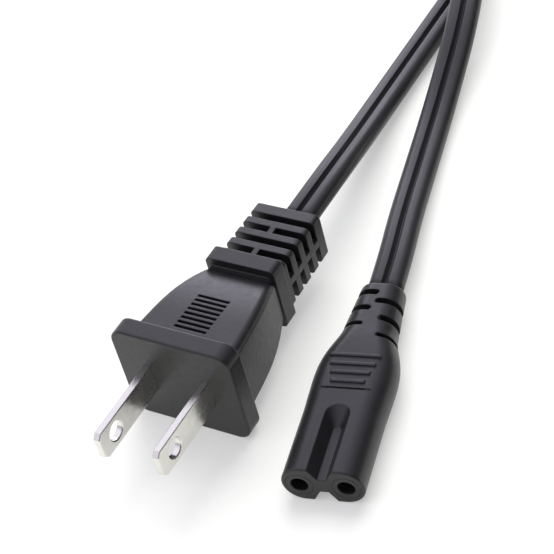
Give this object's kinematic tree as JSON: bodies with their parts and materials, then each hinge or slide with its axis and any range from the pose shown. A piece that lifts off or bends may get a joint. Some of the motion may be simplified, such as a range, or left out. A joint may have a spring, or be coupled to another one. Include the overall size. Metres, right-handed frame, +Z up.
{
  "type": "figure-eight mains lead",
  "caption": "Figure-eight appliance connector on a flat twin cord with a flat-blade plug and the rest of the lead tied in a hank.",
  "frame": {"origin": "on the surface that the lead lies on, under the middle of the connector", "axes": "+Y from the connector's mating face to its cord, +Z up, +X to the right when looking along +Y"},
  "size_m": [0.0566, 0.3114, 0.0215],
  "materials": {
    "moulding": "satin charcoal soft PVC",
    "insert": "matt",
    "contact": "plain",
    "blade": "nickel plated, polished",
    "copper": "bare copper strands",
    "insulation": "satin",
    "cord": "satin soft PVC",
    "tie": "matt"
  },
  "bodies": {
    "root": {"connector_shell": "moulding", "plug_shell": "moulding", "connector_core": "insert", "plug_core": "insert", "contact_left": "contact", "contact_right": "contact", "blade_left": "blade", "blade_right": "blade", "connector_strands_left": "copper", "connector_strands_right": "copper", "plug_strands_left": "copper", "plug_strands_right": "copper", "connector_wire_left": "insulation", "connector_wire_right": "insulation", "plug_wire_left": "insulation", "plug_wire_right": "insulation", "cord_from_connector": "cord", "cord_to_plug": "cord", "cord_hank": "cord", "hank_tie_left": "tie", "hank_tie_right": "tie"}
  },
  "joints": []
}
